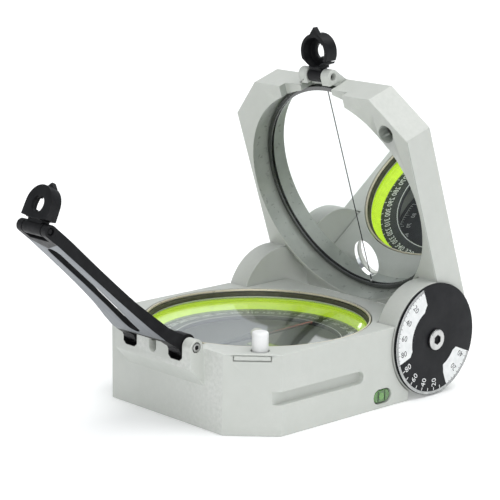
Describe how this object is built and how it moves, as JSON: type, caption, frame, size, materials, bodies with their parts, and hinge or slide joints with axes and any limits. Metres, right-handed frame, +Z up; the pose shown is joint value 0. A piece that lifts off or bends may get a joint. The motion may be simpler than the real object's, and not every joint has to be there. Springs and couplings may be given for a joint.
{
  "type": "geology compass",
  "caption": "Pocket transit compass with a hinged mirror lid, folding sighting arm, peep sights, dial with needle, levels and a side protractor disc.",
  "frame": {"origin": "middle of the flat underside of the base, under the needle pivot", "axes": "+Z up out of the dial, +X to the right along the lid hinge, -Y towards the sighting arm"},
  "size_m": [0.0742, 0.1358, 0.1067],
  "materials": {
    "body": "satin light grey-green coating",
    "black": "satin black anodised",
    "steel": "brushed",
    "lime": "matte luminous",
    "glass": "clear polished",
    "gold": "satin",
    "olive": "matte",
    "dial": "matte black",
    "white": "satin white",
    "mirror": "polished",
    "green": "glossy translucent green",
    "disc": "satin black with light print",
    "light": "satin",
    "needle": "painted white and satin",
    "vial": "clear yellow-green"
  },
  "bodies": {
    "base": {"base_case": "body", "lume_ring": "lime", "cover_glass": "glass", "glass_gasket": "olive", "bezel_ring": "gold", "dial_plate": "dial", "needle_pivot": "steel", "side_level_vial": "green", "chamfer_slot_bar": "light", "hinge_screw_right": "steel", "hinge_screw_left": "steel", "arm_hinge_pin": "steel", "lift_bracket": "steel", "lift_lever_pin": "steel", "lift_spring": "steel"},
    "lift_button": {"lift_button": "white"},
    "lift_lever": {"lift_lever": "steel"},
    "needle": {"needle_bar": "needle", "needle_cap": "gold"},
    "azimuth_ring": {"azimuth_ring": "dial"},
    "ring_adjuster": {"ring_adjuster": "steel"},
    "clinometer": {"clinometer_vane": "steel", "clinometer_drive_pin": "steel", "clinometer_lever": "black", "bulls_eye_cup": "gold", "bulls_eye_vial": "vial", "tube_level_vial": "vial", "tube_level_clip_left": "steel", "tube_level_clip_right": "steel"},
    "sight_arm": {"sight_arm": "black", "arm_sight_pin": "steel"},
    "arm_sight": {"arm_sight": "black"},
    "lid": {"lid_frame": "body", "mirror": "mirror", "mirror_ring": "olive", "striker_pad": "olive", "protractor_disc": "disc", "lid_sight_pin": "steel"},
    "lid_sight": {"lid_sight": "black"}
  },
  "joints": [
    {"name": "lid_hinge", "type": "hinge", "parent": "base", "child": "lid", "pos_m": [0, 0.0372, 0.0171], "axis": [-1, 0, 0], "range_deg": [-66.5, 108]},
    {"name": "lid_sight_hinge", "type": "hinge", "parent": "lid", "child": "lid_sight", "pos_m": [0, 0.02385, 0.09231], "axis": [-1, 0, 0], "range_deg": [-184, 48]},
    {"name": "arm_hinge", "type": "hinge", "parent": "base", "child": "sight_arm", "pos_m": [0, -0.0381, 0.024], "axis": [-1, 0, 0], "range_deg": [-41.2, 126]},
    {"name": "arm_sight_hinge", "type": "hinge", "parent": "sight_arm", "child": "arm_sight", "pos_m": [0, -0.08002, 0.06083], "axis": [-1, 0, 0], "range_deg": [-90, 40]},
    {"name": "needle_spin", "type": "hinge", "parent": "base", "child": "needle", "pos_m": [0, 0, 0.0163], "axis": [0, 0, 1], "continuous": true},
    {"name": "azimuth_ring_turn", "type": "hinge", "parent": "base", "child": "azimuth_ring", "pos_m": [0, 0, 0.0152], "axis": [0, 0, 1], "continuous": true},
    {"name": "ring_adjuster_turn", "type": "hinge", "parent": "base", "child": "ring_adjuster", "pos_m": [-0.02475, -0.02475, 0.0125], "axis": [-0.7071, -0.7071, 0], "continuous": true},
    {"name": "clinometer_turn", "type": "hinge", "parent": "base", "child": "clinometer", "pos_m": [0, 0, 0.005], "axis": [0, 0, 1], "range_deg": [-80, 80]},
    {"name": "lift_press", "type": "slide", "parent": "base", "child": "lift_button", "axis": [0, 0, -1], "range_m": [0, 0.0012], "stiffness_N_per_m": 400, "springref_m": -0.001, "deforming": ["lift_spring"]},
    {"name": "lift_lever_turn", "type": "hinge", "parent": "base", "child": "lift_lever", "pos_m": [0.01635, -0.01472, 0.013], "axis": [0.669, 0.7433, 0], "range_deg": [0, 4.6]}
  ],
  "couplings": [
    {"joint": "lift_lever_turn", "follows": "lift_press", "rad_per_m": 63.8},
    {"joint": "ring_adjuster_turn", "follows": "azimuth_ring_turn", "ratio": -15.26}
  ]
}
